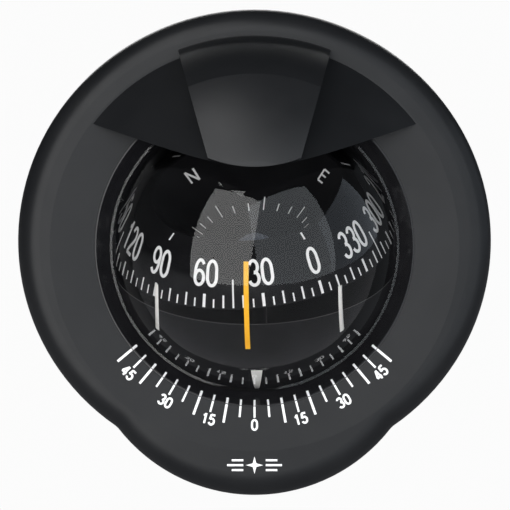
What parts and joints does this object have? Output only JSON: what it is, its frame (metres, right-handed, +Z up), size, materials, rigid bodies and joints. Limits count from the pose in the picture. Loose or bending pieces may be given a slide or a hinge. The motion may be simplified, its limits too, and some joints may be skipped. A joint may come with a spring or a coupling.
{
  "type": "bulkhead steering compass",
  "caption": "Round black bulkhead steering compass: clear dome over a gimballed card with lubber line and heel pointer, visor above and heel scale below, spigot and studs behind.",
  "frame": {"origin": "on the compass axis, in the plane of the gasket's rear face, where the spigot enters the bulkhead", "axes": "+Z up and the gimbal level, +X to the reader's right, -Y towards the reader; the face leans back 24.5 degrees, so the compass axis points forward and 24.5 degrees up, along (0, -0.91, 0.415)"},
  "size_m": [0.1652, 0.1169, 0.1585],
  "materials": {
    "fascia_black": "fine moulded grain, satin black",
    "visor_black": "fine moulded grain, satin black",
    "bezel_gloss": "polished black",
    "dome_clear": "clear polished acrylic",
    "housing_black": "moulded black",
    "seal_rubber": "matt black rubber",
    "stainless": "stainless steel",
    "brass": "turned brass",
    "magnet_steel": "nickel-plated magnet",
    "gimbal_black": "matt black",
    "ballast_lead": "cast lead alloy",
    "pointer_white": "white",
    "lubber_orange": "signal orange",
    "card_black": "matt black with printed white marks",
    "float_white": "closed-cell float",
    "jewel_sapphire": "black cup with a set jewel",
    "red_lens": "clear red",
    "lamp_white": "white moulding",
    "board_green": "circuit board",
    "diode_clear": "clear resin"
  },
  "bodies": {
    "root": {"fascia": "fascia_black", "visor_hood": "visor_black", "lamp_bonnet": "visor_black", "visor_screws": "stainless", "lamp_lens": "red_lens", "lamp_holder": "lamp_white", "lamp_board": "board_green", "lamp_diode": "diode_clear", "terminal_block": "housing_black", "lamp_terminals": "brass", "gasket": "seal_rubber", "mounting_ring": "housing_black", "mounting_studs": "stainless", "dome": "dome_clear", "dome_bezel": "bezel_gloss", "bezel_screws": "stainless", "dome_seal": "seal_rubber", "rear_bowl": "housing_black", "filler_seal": "seal_rubber", "filler_plug": "stainless", "diaphragm": "seal_rubber", "diaphragm_cover": "housing_black", "diaphragm_screws": "stainless", "bearing_bridge": "housing_black", "roll_bush": "brass"},
    "north_corrector": {"north_corrector_spindle": "brass", "north_corrector_magnet": "magnet_steel"},
    "east_corrector": {"east_corrector_spindle": "brass", "east_corrector_magnet": "magnet_steel"},
    "roll_gimbal": {"roll_frame": "gimbal_black", "roll_shaft": "brass", "roll_ballast": "ballast_lead", "pitch_bushes": "brass", "clinometer_pointer": "pointer_white"},
    "pitch_gimbal": {"mask_bowl": "gimbal_black", "pitch_pins": "brass", "mask_ballast": "ballast_lead", "pivot_post": "gimbal_black", "pivot_needle": "stainless", "lubber_line": "lubber_orange", "side_lubber_lines": "pointer_white"},
    "card": {"compass_card": "card_black", "card_float": "float_white", "jewel_cup": "jewel_sapphire", "card_magnets": "magnet_steel"}
  },
  "joints": [
    {"name": "heel", "type": "hinge", "parent": "root", "child": "roll_gimbal", "pos_m": [0, -0.00637, 0.0029], "axis": [0, -0.91, 0.4147], "range_deg": [-51, 49]},
    {"name": "pitch", "type": "hinge", "parent": "roll_gimbal", "child": "pitch_gimbal", "pos_m": [0, -0.00637, 0.0029], "axis": [0.9998, 0.0072, 0.0159], "range_deg": [-69.5, 20.5]},
    {"name": "card_turn", "type": "hinge", "parent": "pitch_gimbal", "child": "card", "pos_m": [0, -0.00637, 0.0029], "axis": [-0.0941, 0, 0.9956], "continuous": true},
    {"name": "north_corrector_turn", "type": "hinge", "parent": "root", "child": "north_corrector", "pos_m": [-0.008, 0.00474, -0.05711], "axis": [0, -0.91, 0.4147], "continuous": true},
    {"name": "east_corrector_turn", "type": "hinge", "parent": "root", "child": "east_corrector", "pos_m": [0.009, 0.00474, -0.05711], "axis": [1, 0, 0], "continuous": true}
  ]
}
